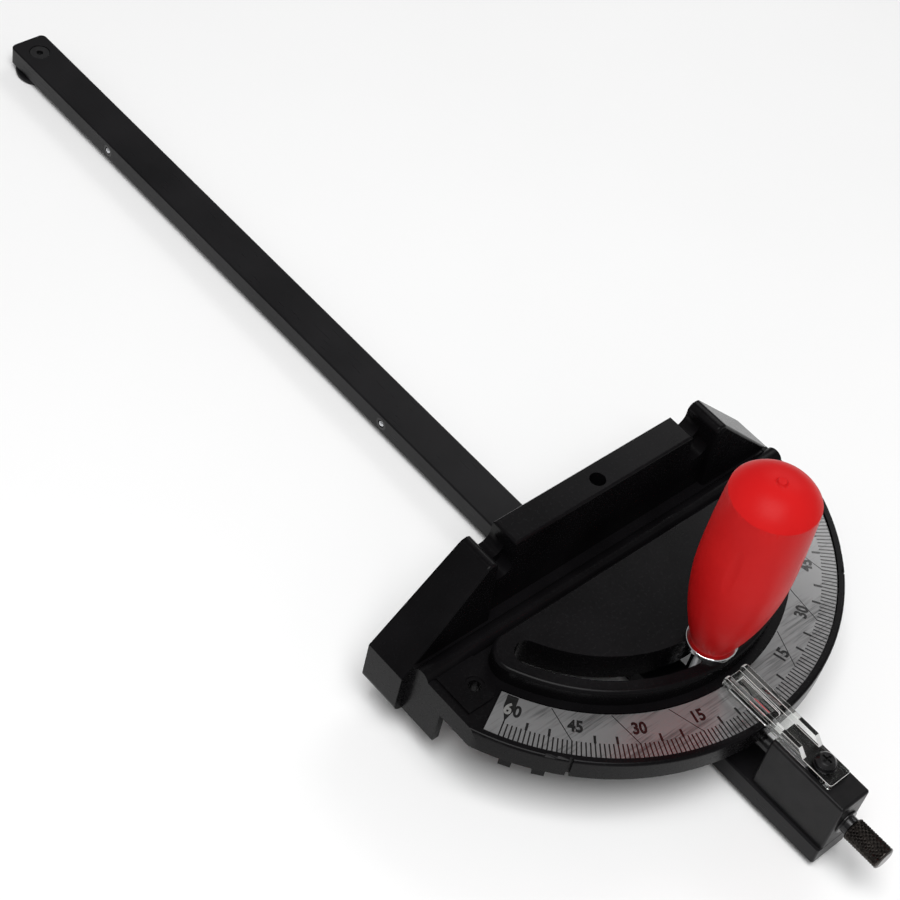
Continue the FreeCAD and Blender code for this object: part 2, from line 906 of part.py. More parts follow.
def make_knob():
    """The fluted knob, hollow at its mouth so that it slides over the bushing's collar."""
    radius = size.knob_diameter / 2
    length = size.knob_length
    chamfer = size.edge_break
    rod = size.pin_diameter / 2 + size.seat_fit
    mouth = size.collar_diameter / 2 + size.free_fit
    mouth_floor = length - size.collar_length - size.free_fit
    lip = chamfer / 2
    body = turned("index_knob", [
        (ZERO, ZERO),
        (radius - chamfer, ZERO),
        (radius, chamfer),
        (radius, length - lip),
        (radius - lip, length),
        (mouth, length),
        (mouth, mouth_floor),
        (rod, mouth_floor),
        (rod, length / 2 - size.seat_fit),
        (ZERO, length / 2 - size.seat_fit),
    ])
    flute = round_pocket(body, "knob_flute_cut", "XY_Plane", ZERO,
                         [(radius + size.knob_flute / 4, 0, size.knob_flute / 2)],
                         length, True)
    pattern = body.newObject("PartDesign::PolarPattern", "knob_flutes")
    pattern.Originals = [flute]
    pattern.Axis = (origin_plane(body, "Z_Axis"), [""])
    pattern.Angle = 360
    bind(pattern, "Occurrences", size.knob_flutes)
    body.Tip = pattern
    doc.recompute()
    lay_along_y(body, knob_face - size.knob_length)


# Head casting

def plan_outline(side, radius):
    """The half disc with straight sides, up to the fence."""
    foot = root(radius * radius - side * side)
    return [
        (-side, ZERO),
        (-side, -foot, (radius, ZERO, ZERO, True)),
        (side, -foot),
        (side, ZERO),
    ]


def make_head():
    body = new_body("head_casting")
    side = size.head_side
    rim = size.rim_radius
    inner_side = side - size.rim_wall
    inner_rim = rim - size.rim_wall
    face = size.fence_face

    # outer wall with its lip, filled by the deck
    pad(body, "rim_wall_outline", "XY_Plane", size.rim_bottom, plan_outline(side, rim),
        size.rim_top - size.rim_bottom)
    lip = size.rim_top
    dress(body, "PartDesign::Fillet", "rim_rounds", size.rim_round,
          lambda edge: level(edge, lip) and not near(edge.BoundBox.YMax, ZERO))
    pocket(body, "lip_recess", "XY_Plane", size.rim_top, plan_outline(inner_side, inner_rim),
           size.rim_top - size.deck_top)
    pocket(body, "under_deck", "XY_Plane", size.rim_bottom, plan_outline(inner_side, inner_rim),
           size.deck_bottom - size.rim_bottom, True)

    # recess for the scale
    recess = sector_corners(size.scale_inner - size.scale_gap, size.scale_outer + size.scale_gap,
                            size.scale_angle + size.scale_gap)
    pocket(body, "scale_recess", "XY_Plane", size.deck_top, recess,
           size.deck_top - size.scale_seat)

    # fence wall from end to end, and the foot with its rounded bead
    wall_bottom = face - size.fence_wall
    centre_y = -size.centre_lip
    slope = size.draft
    valley = size.valley
    pad(body, "fence_section", "YZ_Plane", -size.fence_half, [
        (face, size.fence_bottom),
        (face, size.fence_top),
        (centre_y, size.fence_top),
        (centre_y - slope, valley),
        (centre_y - slope, size.deck_bottom),
        (wall_bottom, size.deck_bottom),
        (wall_bottom, size.fence_bottom),
    ], size.fence_half * 2)
    bead_half = (size.foot_edge - size.bead_start) / 2
    bead_radius = root(bead_half * bead_half + size.bead_sink * size.bead_sink)
    bead_y = -(size.foot_edge + size.bead_start) / 2
    pad(body, "foot_section", "YZ_Plane", -side, [
        (wall_bottom, size.deck_bottom),
        (-size.foot_edge, size.deck_bottom),
        (-size.foot_edge, valley, (bead_radius, bead_y, valley - size.bead_sink, False)),
        (-size.bead_start, valley),
        (wall_bottom, valley),
    ], side * 2)

    # thicker wings outside the two fixing slots, on solid ends
    wing_y = -size.wing_lip
    wing_back = size.wing_lip + slope
    wing_section = [
        (wall_bottom, size.deck_bottom),
        (wall_bottom, size.fence_top),
        (wing_y, size.fence_top),
        (-wing_back, valley),
        (-wing_back, size.deck_bottom),
    ]
    wing_length = size.fence_half - size.wing_half
    pad(body, "left_wing", "YZ_Plane", -size.fence_half, wing_section, wing_length)
    pad(body, "right_wing", "YZ_Plane", size.wing_half, wing_section, wing_length)
    drop = size.deck_bottom - size.fence_bottom + size.overlap
    end_inner = side - size.foot_wall
    end_box = box_corners(end_inner, -wing_back, size.fence_half, face)
    wall_box = box_corners(end_inner, -size.foot_length, side, ZERO)
    for name, outline in (("end", end_box), ("foot", wall_box)):
        pad(body, "right_" + name, "XY_Plane", size.fence_bottom, outline, drop)
        pad(body, "left_" + name, "XY_Plane", size.fence_bottom, mirrored(outline), drop)
    floor = size.fence_bottom
    dress(body, "PartDesign::Fillet", "end_rounds", size.end_round,
          lambda edge: is_line_along(edge, Y) and level(edge, floor)
          and near(abs(edge.BoundBox.XMin), size.fence_half))

    # sloping wing tops
    start = size.wing_half + size.wing_flat
    rise = (size.fence_top - size.wing_end_height) / (size.fence_half - start)
    spare = size.cut_spare
    slope_cut = [
        (start, size.fence_top),
        (size.fence_half + spare, size.wing_end_height - rise * spare),
        (size.fence_half + spare, size.fence_top + spare),
        (start, size.fence_top + spare),
    ]
    cut_depth = wing_back + size.overlap / 10
    for name, outline in (("right", slope_cut), ("left", mirrored(slope_cut))):
        pocket(body, name + "_wing_top", "XZ_Plane", cut_depth, outline,
               cut_depth + face + size.overlap)

    # fixing slots, open at the top, their floors stepped down toward the user
    first = size.centre_half
    last = size.wing_half
    curve = size.slot_round
    for name, floor_z, start_y in (
        ("slot", size.slot_floor, face + size.overlap),
        ("slot_step", size.slot_floor - size.slot_step, -size.slot_step_back),
    ):
        outline = [
            (first, size.fence_top + size.overlap),
            (first, floor_z + curve, (curve, first + curve, floor_z + curve, True)),
            (first + curve, floor_z),
            (last - curve, floor_z, (curve, last - curve, floor_z + curve, True)),
            (last, floor_z + curve),
            (last, size.fence_top + size.overlap),
        ]
        depth = wing_back + size.overlap
        for side_name, corners in (("right", outline), ("left", mirrored(outline))):
            pocket(body, side_name + "_fixing_" + name, "XZ_Plane", depth, corners,
                   depth + start_y)

    # rounded edges of the fence
    top = size.fence_top
    inner_edge = size.centre_half.value + CLOSE
    outer_edge = size.wing_half.value - CLOSE

    def is_centre_edge(edge):
        box = edge.BoundBox
        return box.XMax < inner_edge and box.XMin > -inner_edge and level(edge, top)

    def is_wing_edge(edge):
        box = edge.BoundBox
        return box.XMin > outer_edge or box.XMax < -outer_edge

    def is_at_x(edge, place_x):
        return near(abs(edge.BoundBox.XMin), place_x) and near(abs(edge.BoundBox.XMax), place_x)

    def is_ridge(edge):
        box = edge.BoundBox
        behind = box.YMax < -size.wing_lip.value + CLOSE
        return is_wing_edge(edge) and behind and box.XLength > 1 and box.ZMax > size.slot_floor.value

    dress(body, "PartDesign::Fillet", "centre_rounds", size.fence_round, is_centre_edge)
    dress(body, "PartDesign::Fillet", "wing_shoulders", size.wing_shoulder,
          lambda edge: level(edge, top) and is_line_along(edge, Y) and is_at_x(edge, start))
    dress(body, "PartDesign::Fillet", "wing_corner_rounds", size.wing_corner,
          lambda edge: level(edge, top) and is_line_along(edge, Y) and is_at_x(edge, last))
    dress(body, "PartDesign::Fillet", "wing_ridges", size.wing_ridge, is_ridge)

    # raised half-moon platform
    corner = size.platform_corner
    reach = size.platform_radius - corner
    corner_y = size.platform_edge + corner
    corner_x = root(reach * reach - corner_y * corner_y)
    grow = size.platform_radius / reach
    pad(body, "platform_outline", "XY_Plane", size.deck_bottom, [
        (-corner_x, -size.platform_edge, (corner, -corner_x, -corner_y, True)),
        (-(corner_x * grow), -(corner_y * grow), (size.platform_radius, ZERO, ZERO, True)),
        (corner_x * grow, -(corner_y * grow), (corner, corner_x, -corner_y, True)),
        (corner_x, -size.platform_edge),
    ], size.platform_top - size.deck_bottom)
    platform = size.platform_top
    dress(body, "PartDesign::Fillet", "platform_rounds", size.platform_round,
          lambda edge: level(edge, platform))
    pad(body, "platform_root", "XY_Plane", size.deck_bottom,
        box_corners(-corner_x, -(size.platform_edge + size.overlap),
                    corner_x, -(size.foot_edge - size.overlap)),
        valley - size.deck_bottom)

    # pivot boss and index ring under the deck
    boss = size.pivot_boss / 2
    boss_x = root(boss * boss - face * face)
    pad(body, "pivot_boss_outline", "XY_Plane", size.shim_height,
        [(-boss_x, face, (boss, ZERO, ZERO, True)), (boss_x, face)],
        size.deck_bottom - size.shim_height + size.overlap)
    ring = sector_corners(size.ring_inner, size.ring_outer, size.ring_angle)
    pad(body, "index_ring", "XY_Plane", size.ring_bottom, ring,
        size.deck_bottom - size.ring_bottom + size.overlap)

    # stop lugs on the ring
    lug_inner = size.ring_outer - size.overlap
    lug_outer = size.ring_outer + size.lug_reach
    for place_name, angle in (("inner", size.lug_first), ("outer", size.lug_second)):
        for side_name, sign in (("left", -1), ("right", 1)):
            pad(body, side_name + "_" + place_name + "_lug", "XY_Plane", size.fence_bottom,
                spoke_corners(lug_inner, lug_outer, size.lug_width, angle, sign),
                size.lug_top - size.fence_bottom)

    # ribs from the ring to the rim
    rib = pad(body, "rim_rib", "XY_Plane", size.rim_bottom,
              spoke_corners(size.ring_outer - size.overlap, inner_rim + size.overlap,
                            size.rib_width, ZERO, 1),
              size.deck_bottom - size.rim_bottom + size.overlap)
    for name, reverse in (("ribs_left", False), ("ribs_right", True)):
        pattern = body.newObject("PartDesign::PolarPattern", name)
        pattern.Originals = [rib]
        pattern.Axis = (origin_plane(body, "Z_Axis"), [""])
        bind(pattern, "Angle", size.rib_angle * 4)
        pattern.Occurrences = 5
        pattern.Reversed = reverse
        body.Tip = pattern
        doc.recompute()

    # cores under the platform
    core_half = size.rib_width / 2
    for name, sign in (("left", -1), ("right", 1)):
        for place_name, first, last in (
            ("inner", size.core_start, size.core_middle - core_half),
            ("outer", size.core_middle + core_half, size.core_end),
        ):
            corners = wedge_corners(size.core_inner, size.core_outer, first, last)
            if sign < 0:
                corners = mirrored(corners)
            pocket(body, name + "_" + place_name + "_core", "XY_Plane", size.deck_bottom,
                   corners, size.platform_top - size.core_roof - size.deck_bottom, True)

    # arc slot for the clamp stud
    arc_in = size.slot_radius - size.slot_width / 2
    arc_out = size.slot_radius + size.slot_width / 2
    arc_height = size.platform_top - size.deck_bottom + size.overlap * 2
    pocket(body, "arc_slot", "XY_Plane", size.platform_top + size.overlap,
           sector_corners(arc_in, arc_out, size.slot_angle), arc_height)
    end_x = size.slot_radius * sine(size.slot_angle)
    end_y = -(size.slot_radius * cosine(size.slot_angle))
    round_pocket(body, "arc_slot_ends", "XY_Plane", size.platform_top + size.overlap,
                 [(end_x, end_y, size.slot_width / 2), (-end_x, end_y, size.slot_width / 2)],
                 arc_height)

    # index notches through the ring
    notch = round_pocket(body, "index_notch", "XZ_Plane", size.ring_outer + size.overlap,
                         [(0, size.index_height, size.pin_diameter / 2 + size.notch_clearance)],
                         size.index_engagement + size.notch_reach)
    for name, reverse in (("notches_left", False), ("notches_right", True)):
        pattern = body.newObject("PartDesign::PolarPattern", name)
        pattern.Originals = [notch]
        pattern.Axis = (origin_plane(body, "Z_Axis"), [""])
        bind(pattern, "Angle", size.notch_step * 4)
        pattern.Occurrences = 5
        pattern.Reversed = reverse
        body.Tip = pattern
        doc.recompute()

    # raised corner pads with tapped holes
    hole_x = size.corner_hole_x
    hole_y = -size.corner_hole_y
    pad_radius = size.corner_pad / 2
    pad_edge = inner_side - size.corner_pad_gap
    corner_outline = [
        (pad_edge, -size.foot_edge + size.overlap / 2),
        (pad_edge, hole_y - pad_radius),
        (hole_x, hole_y - pad_radius, (pad_radius, hole_x, hole_y, False)),
        (hole_x - pad_radius, hole_y),
        (hole_x - pad_radius, -size.foot_edge + size.overlap / 2),
    ]
    pad_top = size.deck_top + size.corner_pad_rise
    for name, outline in (("right", corner_outline), ("left", mirrored(corner_outline))):
        pad(body, name + "_corner_pad", "XY_Plane", size.deck_top - size.overlap / 2, outline,
            size.corner_pad_rise + size.overlap / 2)

    def both_corners(radius):
        return [(hole_x, hole_y, radius), (-hole_x, hole_y, radius)]

    round_pad(body, "corner_bosses", "XY_Plane", size.rim_bottom, both_corners(size.corner_boss / 2),
              size.deck_bottom - size.rim_bottom + size.overlap)
    round_pocket(body, "corner_spot_faces", "XY_Plane", pad_top, both_corners(size.spot_face / 2),
                 size.spot_depth)
    round_pocket(body, "corner_holes", "XY_Plane", pad_top, both_corners(size.corner_hole / 2),
                 pad_top - size.rim_bottom)
    post_y = face - size.post_back
    round_pocket(body, "post_hole_bore", "XY_Plane", size.fence_top,
                 [(0, post_y, size.post_hole / 2)], size.post_depth)
    round_pocket(body, "pivot_thread_bore", "XY_Plane", size.shim_height,
                 [(0, 0, size.pivot_thread / 2 + size.seat_fit)],
                 size.pivot_thread_length + size.overlap, True)

    # witness notches in the rim
    for name, sign in (("left", -1), ("right", 1)):
        pocket(body, name + "_witness", "XY_Plane", size.rim_bottom - size.overlap,
               spoke_corners(rim - size.witness_depth, rim + size.overlap * 2, size.witness_width,
                             size.witness_angle, sign),
               size.rim_top - size.rim_bottom + size.overlap * 2, True)
    return body


# Scale, cursor and its screw

def make_scale():
    body = new_body("scale_plate")
    corners = sector_corners(size.scale_inner, size.scale_outer, size.scale_angle)
    pad(body, "scale_outline", "XY_Plane", size.scale_seat, corners, size.scale_thickness)


def make_cursor():
    """Clear channel: a floor with a rail along each side, stepped down onto the block."""
    body = new_body("cursor")
    half = size.cursor_width / 2
    low = size.block_height + size.running_fit
    lift = size.rim_top + size.cursor_lift
    top = lift + size.cursor_floor
    tip = -size.cursor_tip
    tail = -size.cursor_tail
    rail_top = top + size.cursor_rail_height
    step = -size.cursor_bridge
    floor = [
        (tip, lift),
        (tip, top),
        (tail, top),
        (tail, low),
        (step, low),
        (step, lift),
    ]
    pad(body, "cursor_floor_section", "YZ_Plane", -half, floor, size.cursor_width)
    rail_end = -size.cursor_rail_end
    sunk = top - size.free_fit
    edge = size.cursor_rail_edge
    rail = [
        (tip, sunk),
        (tip, rail_top - edge),
        (tip - edge, rail_top),
        (rail_end + size.cursor_rail_height, rail_top),
        (rail_end, top),
        (rail_end, sunk),
    ]
    pad(body, "cursor_left_rail", "YZ_Plane", -half, rail, size.cursor_rail)
    pad(body, "cursor_right_rail", "YZ_Plane", half - size.cursor_rail, rail, size.cursor_rail)
    dress(body, "PartDesign::Fillet", "cursor_tail_corners", size.cursor_corner,
          lambda item: is_line_along(item, Z) and near(item.BoundBox.YMin, tail))
    window = size.window_half
    front = tip - size.window_start
    back = front - size.window_length
    corner = size.window_corner
    pocket(body, "cursor_window", "XY_Plane", top + size.free_fit, [
        (-window, front),
        (-window, back + corner, (corner, -window + corner, back + corner, True)),
        (-window + corner, back),
        (window - corner, back, (corner, window - corner, back + corner, True)),
        (window, back + corner),
        (window, front),
    ], size.window_depth + size.free_fit)
    slot = size.cursor_slot_width / 2
    middle = -size.cursor_screw_place
    reach = size.cursor_slot_travel / 2
    deep = top - low + size.free_fit * 2
    above = top + size.free_fit
    pocket(body, "cursor_slot", "XY_Plane", above,
           box_corners(-slot, middle - reach, slot, middle + reach), deep)
    for name, place_y in (("back", middle - reach), ("front", middle + reach)):
        round_pocket(body, "cursor_slot_" + name, "XY_Plane", above, [(0, place_y, slot)], deep)


def make_cursor_screw():
    floor_top = size.rim_top + size.cursor_lift + size.cursor_floor
    washer_top = floor_top + size.cursor_washer_height
    shank = size.cursor_screw_diameter / 2
    head = size.cursor_screw_head / 2
    tall = size.cursor_screw_head_height
    washer = turned("cursor_washer", [
        (shank + size.running_fit * 2, ZERO),
        (size.cursor_washer / 2, ZERO),
        (size.cursor_washer / 2, size.cursor_washer_height),
        (shank + size.running_fit * 2, size.cursor_washer_height),
    ])
    place(washer, ZERO, -size.cursor_screw_place, floor_top)
    bottom = -(washer_top - size.block_height + size.cursor_screw_grip)
    edge = size.cursor_screw_edge
    screw = turned("cursor_screw", [
        (ZERO, bottom),
        (shank - size.cursor_screw_chamfer, bottom),
        (shank, bottom + size.cursor_screw_chamfer),
        (shank, ZERO),
        (head, ZERO),
        (head, tall - edge),
        (head - edge, tall),
        (ZERO, tall),
    ])
    bar = size.recess_width
    reach = size.recess_reach
    for name, half_x, half_y in (("recess_x", reach, bar / 2), ("recess_y", bar / 2, reach)):
        pocket(screw, "cursor_" + name, "XY_Plane", tall,
               box_corners(-half_x, -half_y, half_x, half_y), size.recess_depth)
    place(screw, ZERO, -size.cursor_screw_place, washer_top)


# Clamp: stud, washer and handle

def make_clamp():
    stud = size.stud_diameter / 2
    head = size.stud_head / 2
    bottom = bar_bottom + size.free_fit
    head_top = bar_bottom + size.stud_head_height + size.free_fit
    body = turned("clamp_stud", [
        (ZERO, bottom),
        (head, bottom),
        (head, head_top),
        (stud, head_top),
        (stud, size.stud_top - size.thread_chamfer),
        (stud - size.thread_chamfer, size.stud_top),
        (ZERO, size.stud_top),
    ])
    place(body, ZERO, stud_y)

    bore = stud + size.running_fit * 2
    outer = size.clamp_washer_diameter / 2
    tall = size.clamp_washer_height
    chamfer = size.edge_break / 2
    washer = turned("clamp_washer", [
        (bore, ZERO),
        (outer, ZERO),
        (outer, tall - chamfer),
        (outer - chamfer, tall),
        (bore, tall),
    ])
    place(washer, ZERO, stud_y, size.platform_top)

    foot = size.platform_top + size.clamp_washer_height
    insert = size.insert_diameter / 2
    insert_body = turned("handle_insert", [
        (stud + size.running_fit, ZERO),
        (insert, ZERO),
        (insert, size.insert_length),
        (stud + size.running_fit, size.insert_length),
    ])
    place(insert_body, ZERO, stud_y, foot)

    waist = size.grip_waist
    waist_z = size.grip_waist_height
    low_drop = waist - size.grip_foot
    low_radius = (waist_z * waist_z + low_drop * low_drop) / (low_drop * 2)
    shoulder = size.grip_shoulder
    rise = size.grip_shoulder_height - waist_z
    high_drop = waist - shoulder
    high_radius = (rise * rise + high_drop * high_drop) / (high_drop * 2)
    seat = insert + size.seat_fit
    cavity = stud + size.free_fit * 2
    cavity_top = size.stud_top - foot + size.clamp_lift
    nub = size.grip_nub
    nub_base = size.grip_top - size.grip_nub_height
    edge_drop = nub_base - size.grip_shoulder_height
    span = shoulder - nub
    dome = (span * span + edge_drop * edge_drop) / (edge_drop * 2)
    grip = turned("handle_grip", [
        (seat, ZERO),
        (size.grip_foot, ZERO, (low_radius, waist - low_radius, waist_z, True)),
        (waist, waist_z, (high_radius, waist - high_radius, waist_z, True)),
        (shoulder, size.grip_shoulder_height, (dome, nub, nub_base - dome, True)),
        (nub, nub_base),
        (nub - size.grip_nub_edge, size.grip_top),
        (ZERO, size.grip_top),
        (ZERO, cavity_top),
        (cavity, cavity_top),
        (cavity, size.insert_length + size.seat_fit),
        (seat, size.insert_length + size.seat_fit),
    ])
    flute = grip.newObject("PartDesign::SubtractiveEllipsoid", "grip_flute")
    cutter = size.flute_cutter
    inside = (cutter - size.flute_depth) / cutter
    share = root(as_size(1.0) - inside * inside)
    bind(flute, "Radius1", size.flute_length / 2 / share)
    bind(flute, "Radius2", cutter)
    bind(flute, "Radius3", size.flute_width / 2 / share)
    bind(flute, "Placement.Base.x", waist + cutter - size.flute_depth)
    bind(flute, "Placement.Base.z", size.flute_height)
    doc.recompute()
    pattern = grip.newObject("PartDesign::PolarPattern", "grip_flutes")
    pattern.Originals = [flute]
    pattern.Axis = (origin_plane(grip, "Z_Axis"), [""])
    pattern.Angle = 360
    bind(pattern, "Occurrences", size.flute_count)
    grip.Tip = pattern
    doc.recompute()
    turn_onto(grip, Z, 1)
    bind(grip, "Placement.Rotation.Angle", size.flute_turn)
    doc.recompute()
    place(grip, ZERO, stud_y, foot)


make_bar()
make_slot_washer()
make_slot_screw()
for tag, place_y in zip(("front", "rear"), plunger_places):
    make_plunger_sleeve(tag + "_plunger_sleeve", place_y)
    make_plunger_spring(tag + "_plunger_spring", place_y)
    make_ball(tag + "_plunger_ball", place_y)
make_pivot()
make_block()
for tag, screw_y in zip(("front", "rear"), block_screw_places):
    make_block_screw(tag + "_block_screw", screw_y)
make_index()
make_knob()
make_head()
make_scale()
make_cursor()
make_cursor_screw()
make_clamp()
doc.recompute()


# Check every object, then write one file for each piece

PIECES = [
    "miter_bar", "t_slot_washer", "t_washer_screw",
    "front_plunger_sleeve", "rear_plunger_sleeve",
    "front_plunger_spring", "rear_plunger_spring",
    "front_plunger_ball", "rear_plunger_ball",
    "pivot_shim", "pivot_screw", "pointer_block",
    "front_block_screw", "rear_block_screw",
    "index_bushing", "index_pin", "index_clip", "index_spring", "index_knob",
    "head_casting", "scale_plate", "cursor", "cursor_washer", "cursor_screw",
    "clamp_stud", "clamp_washer", "handle_insert", "handle_grip",
]

for item in doc.Objects:
    if "Invalid" in item.State or "Error" in item.State:
        raise RuntimeError(item.Name + " did not build: " + str(item.State))
for name in PIECES:
    shape = doc.getObject(name).Shape
    if shape.isNull() or not shape.isValid():
        raise RuntimeError(name + " has no valid shape")
for name in PIECES:
    doc.getObject(name).Shape.exportStep("parts/" + name + ".step")
    print(name, round(doc.getObject(name).Shape.Volume, 1))
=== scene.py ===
import json
import math

import bpy
from mathutils import Matrix, Vector


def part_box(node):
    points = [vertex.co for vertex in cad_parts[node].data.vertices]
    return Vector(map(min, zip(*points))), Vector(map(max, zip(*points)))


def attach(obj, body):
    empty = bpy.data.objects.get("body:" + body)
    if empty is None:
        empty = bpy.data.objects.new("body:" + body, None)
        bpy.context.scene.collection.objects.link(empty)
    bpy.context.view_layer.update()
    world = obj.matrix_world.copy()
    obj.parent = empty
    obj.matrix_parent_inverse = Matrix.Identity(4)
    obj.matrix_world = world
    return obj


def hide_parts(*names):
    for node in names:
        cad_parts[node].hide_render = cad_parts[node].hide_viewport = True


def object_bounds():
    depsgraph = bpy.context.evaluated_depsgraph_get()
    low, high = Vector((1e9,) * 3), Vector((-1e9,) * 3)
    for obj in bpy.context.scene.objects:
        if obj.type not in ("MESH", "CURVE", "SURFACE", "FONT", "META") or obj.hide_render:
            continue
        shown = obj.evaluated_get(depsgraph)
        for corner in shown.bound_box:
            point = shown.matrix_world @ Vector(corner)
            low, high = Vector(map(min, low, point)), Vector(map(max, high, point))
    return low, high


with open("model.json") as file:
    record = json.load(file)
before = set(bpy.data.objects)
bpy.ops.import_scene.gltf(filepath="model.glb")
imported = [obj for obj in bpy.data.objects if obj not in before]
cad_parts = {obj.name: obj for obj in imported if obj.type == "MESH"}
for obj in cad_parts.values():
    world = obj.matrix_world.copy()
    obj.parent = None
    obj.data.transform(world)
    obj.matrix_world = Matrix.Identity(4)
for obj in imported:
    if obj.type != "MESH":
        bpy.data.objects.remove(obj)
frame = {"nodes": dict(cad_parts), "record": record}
cad_low, cad_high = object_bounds()
record = frame["record"]
body_of_node = {
    node: body
    for body, nodes in record["behaviour"]["bodies"].items()
    for node in nodes
}
MM = 0.001
SMOOTH_ANGLE = 34
GRIP_ANGLE = 11
BEVEL_ANGLE = 32
MERGE_DISTANCE = 0.000004
FLAT_ANGLE = 0.4


# Choosing and finishing pieces

def choose(*pieces):
    """Only these pieces are selected, the first one active."""
    if bpy.context.object and bpy.context.object.mode == "EDIT":
        bpy.ops.object.mode_set(mode="OBJECT")
    bpy.ops.object.select_all(action="DESELECT")
    for piece in pieces:
        piece.select_set(True)
    bpy.context.view_layer.objects.active = pieces[0]


def edit_all(piece):
    choose(piece)
    bpy.ops.object.mode_set(mode="EDIT")
    bpy.ops.mesh.select_all(action="SELECT")


def leave_edit():
    bpy.ops.object.mode_set(mode="OBJECT")


def apply_place(piece):
    choose(piece)
    bpy.ops.object.transform_apply(location=True, rotation=True, scale=True)


def apply_modifiers(piece):
    choose(piece)
    for modifier in list(piece.modifiers):
        bpy.ops.object.modifier_apply(modifier=modifier.name)


def round_edges(piece, width):
    bevel = piece.modifiers.new("edge", "BEVEL")
    bevel.width = width * MM
    bevel.segments = 2
    bevel.limit_method = "ANGLE"
    bevel.angle_limit = math.radians(BEVEL_ANGLE)
    bevel.use_clamp_overlap = True
    apply_modifiers(piece)


def smooth(piece, angle):
    choose(piece)
    bpy.ops.object.shade_smooth_by_angle(angle=math.radians(angle))
    weights = piece.modifiers.new("even", "WEIGHTED_NORMAL")
    weights.keep_sharp = True
    apply_modifiers(piece)


def joined(pieces, name):
    choose(*pieces)
    if len(pieces) > 1:
        bpy.ops.object.join()
    piece = bpy.context.object
    piece.name = name
    piece.data.name = name
    return piece


def paint_with(piece, material):
    piece.data.materials.clear()
    piece.data.materials.append(material)


def dressed(node, material, edge, angle=SMOOTH_ANGLE):
    """A merged copy of a node with rounded edges, which stands for it."""
    source = frame["nodes"][node]
    piece = source.copy()
    piece.data = source.data.copy()
    piece.name = node + "_finish"
    piece.data.name = piece.name
    bpy.context.scene.collection.objects.link(piece)
    piece.parent = None
    piece.matrix_world = Matrix.Identity(4)
    edit_all(piece)
    bpy.ops.mesh.remove_doubles(threshold=MERGE_DISTANCE)
    bpy.ops.mesh.dissolve_limited(angle_limit=math.radians(FLAT_ANGLE))
    leave_edit()
    if edge:
        round_edges(piece, edge)
    smooth(piece, angle)
    paint_with(piece, material)
    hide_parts(node)
    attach(piece, body_of_node[node])


# Materials

def start_material(name, colour, roughness, metallic=0.0):
    material = bpy.data.materials.new(name)
    material.use_nodes = True
    shader = material.node_tree.nodes["Principled BSDF"]
    shader.inputs["Base Color"].default_value = (*colour, 1)
    shader.inputs["Roughness"].default_value = roughness
    shader.inputs["Metallic"].default_value = metallic
    return material, material.node_tree.nodes, material.node_tree.links, shader


def object_pattern(nodes, links, stretch=(1, 1, 1), turn=0.0):
    """Object coordinates through a mapping that stretches a pattern."""
    coords = nodes.new("ShaderNodeTexCoord")
    mapping = nodes.new("ShaderNodeMapping")
    mapping.inputs["Scale"].default_value = stretch
    mapping.inputs["Rotation"].default_value = (0, 0, turn)
    links.new(coords.outputs["Object"], mapping.inputs["Vector"])
    return mapping.outputs["Vector"]


def noise(nodes, links, vector, scale, detail=3.0, roughness=0.5):
    texture = nodes.new("ShaderNodeTexNoise")
    texture.inputs["Scale"].default_value = scale
    texture.inputs["Detail"].default_value = detail
    texture.inputs["Roughness"].default_value = roughness
    links.new(vector, texture.inputs["Vector"])
    return texture.outputs["Fac"]


def ramp(nodes, links, factor, low, high, start=0.3, end=0.7):
    """A colour ramp between two colours, or two greys."""
    node = nodes.new("ShaderNodeValToRGB")
    node.color_ramp.elements[0].position = start
    node.color_ramp.elements[1].position = end
    for element, value in zip(node.color_ramp.elements, (low, high)):
        element.color = (*value, 1) if isinstance(value, tuple) else (value, value, value, 1)
    links.new(factor, node.inputs["Fac"])
    return node.outputs["Color"]


def bumped(nodes, links, shader, height, distance):
    bump = nodes.new("ShaderNodeBump")
    bump.inputs["Distance"].default_value = distance * MM
    bump.inputs["Strength"].default_value = 1.0
    links.new(height, bump.inputs["Height"])
    links.new(bump.outputs["Normal"], shader.inputs["Normal"])


def surface(name, low, high, rough_low, rough_high, metallic, grain, grain_depth,
            cloud=60.0, stretch=(1, 1, 1), turn=0.0):
    """A finish with a slow colour change, uneven gloss and a fine grain."""
    material, nodes, links, shader = start_material(name, high, rough_high, metallic)
    plain = object_pattern(nodes, links)
    slow = noise(nodes, links, plain, cloud, 4.0)
    links.new(ramp(nodes, links, slow, low, high), shader.inputs["Base Color"])
    pattern = object_pattern(nodes, links, stretch, turn)
    fine = noise(nodes, links, pattern, grain, 4.0, 0.6)
    links.new(ramp(nodes, links, fine, rough_low, rough_high), shader.inputs["Roughness"])
    bumped(nodes, links, shader, fine, grain_depth)
    return material, shader


def make_casting_paint():
    material, shader = surface(
        "casting_black_paint", (0.0024, 0.0022, 0.0025), (0.0052, 0.0048, 0.0054),
        0.20, 0.30, 0.0, 650.0, 0.004, 38.0)
    shader.inputs["Specular IOR Level"].default_value = 0.08
    return material


def make_bar_black():
    material, shader = surface(
        "bar_black_oxide", (0.0040, 0.0038, 0.0044), (0.0085, 0.0080, 0.0090),
        0.26, 0.38, 0.0, 900.0, 0.010, 30.0, (1, 0.06, 1))
    shader.inputs["Specular IOR Level"].default_value = 0.155
    return material


def make_block_black():
    material, shader = surface(
        "block_black_oxide", (0.0050, 0.0048, 0.0052), (0.0095, 0.0090, 0.0098),
        0.28, 0.42, 0.0, 1400.0, 0.012, 120.0, (0.2, 1, 1))
    shader.inputs["Specular IOR Level"].default_value = 0.155
    return material


def make_screw_black():
    return surface(
        "screw_black_oxide", (0.006, 0.006, 0.0065), (0.014, 0.0135, 0.0145),
        0.16, 0.28, 0.35, 2600.0, 0.006, 300.0)[0]


